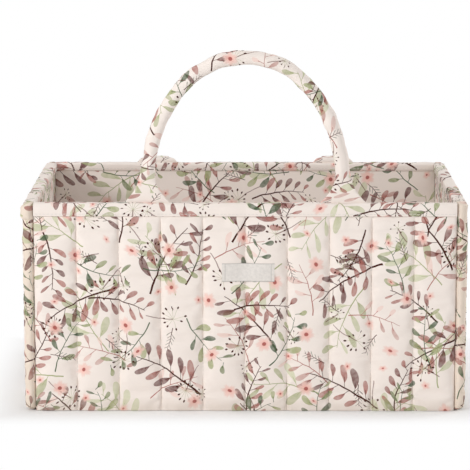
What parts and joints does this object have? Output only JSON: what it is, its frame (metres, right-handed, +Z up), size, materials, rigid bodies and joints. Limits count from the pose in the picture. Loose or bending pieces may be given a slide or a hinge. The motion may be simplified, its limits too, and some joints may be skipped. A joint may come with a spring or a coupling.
{
  "type": "diaper caddy",
  "caption": "Open quilted fabric caddy, a padded rectangular box with two soft carrying handles that fold over the rim and lift-out padded dividers.",
  "frame": {"origin": "centre of the base, on the surface that the caddy stands on", "axes": "+X along the front wall to the viewer's right, +Y from the front wall to the back wall, +Z up"},
  "size_m": [0.38, 0.2882, 0.3088],
  "materials": {
    "printed_quilting": "matte quilted cotton with a small floral print",
    "printed_lining": "matte cotton with a small floral print",
    "printed_hem": "matte folded cotton hem with a small floral print",
    "binding": "matte folded cotton binding with a small floral print",
    "handle_cotton": "matte cotton with a small floral print",
    "foam": "matte foam",
    "base_board": "matte stiff board",
    "label": "satin woven ribbon, bare",
    "rope": "matte cotton rope",
    "tape": "matte napped tape"
  },
  "bodies": {
    "caddy_body": {"front_outer_panel": "printed_quilting", "front_foam_board": "foam", "front_lining": "printed_lining", "front_rim_hem": "printed_hem", "back_outer_panel": "printed_quilting", "back_foam_board": "foam", "back_lining": "printed_lining", "back_rim_hem": "printed_hem", "left_outer_panel": "printed_quilting", "left_foam_board": "foam", "left_lining": "printed_lining", "left_rim_hem": "printed_hem", "right_outer_panel": "printed_quilting", "right_foam_board": "foam", "right_lining": "printed_lining", "right_rim_hem": "printed_hem", "front_left_corner_binding": "binding", "front_right_corner_binding": "binding", "back_left_corner_binding": "binding", "back_right_corner_binding": "binding", "base_outer_panel": "printed_quilting", "base_board": "base_board", "base_lining": "printed_lining", "woven_label": "label", "front_handle_left_tab": "handle_cotton", "front_handle_right_tab": "handle_cotton", "back_handle_left_tab": "handle_cotton", "back_handle_right_tab": "handle_cotton", "front_lining_loop_strip": "tape", "back_lining_loop_strip": "tape", "left_lining_loop_strip": "tape"},
    "front_handle_ends": {"front_handle_left_fold": "handle_cotton", "front_handle_right_fold": "handle_cotton"},
    "front_handle": {"front_handle_cover": "handle_cotton", "front_handle_core": "rope"},
    "back_handle_ends": {"back_handle_left_fold": "handle_cotton", "back_handle_right_fold": "handle_cotton"},
    "back_handle": {"back_handle_cover": "handle_cotton", "back_handle_core": "rope"},
    "cross_divider": {"cross_divider_cover": "printed_lining", "cross_divider_foam": "foam", "cross_divider_front_hook_strip": "tape", "cross_divider_back_hook_strip": "tape", "cross_divider_loop_strip": "tape"},
    "long_divider": {"long_divider_cover": "printed_lining", "long_divider_foam": "foam", "long_divider_left_hook_strip": "tape", "long_divider_right_hook_strip": "tape"}
  },
  "joints": [
    {"name": "front_handle_low_fold", "type": "hinge", "parent": "caddy_body", "child": "front_handle_ends", "pos_m": [0, -0.1169, 0.1825], "axis": [1, 0, 0], "range_deg": [-35, 82]},
    {"name": "front_handle_high_fold", "type": "hinge", "parent": "front_handle_ends", "child": "front_handle", "pos_m": [0, -0.1169, 0.1915], "axis": [1, 0, 0], "range_deg": [-35, 82]},
    {"name": "back_handle_low_fold", "type": "hinge", "parent": "caddy_body", "child": "back_handle_ends", "pos_m": [0, 0.1169, 0.1825], "axis": [1, 0, 0], "range_deg": [0, 117]},
    {"name": "back_handle_high_fold", "type": "hinge", "parent": "back_handle_ends", "child": "back_handle", "pos_m": [0, 0.12581, 0.18375], "axis": [1, 0, 0], "range_deg": [0, 117]},
    {"name": "cross_divider_lift", "type": "slide", "parent": "caddy_body", "child": "cross_divider", "axis": [0, 0, 1], "range_m": [0, 0.043]},
    {"name": "long_divider_lift", "type": "slide", "parent": "caddy_body", "child": "long_divider", "axis": [0, 0, 1], "range_m": [0, 0.043]}
  ],
  "couplings": [
    {"joint": "front_handle_low_fold", "follows": "front_handle_high_fold", "ratio": 1},
    {"joint": "back_handle_low_fold", "follows": "back_handle_high_fold", "ratio": 1}
  ]
}
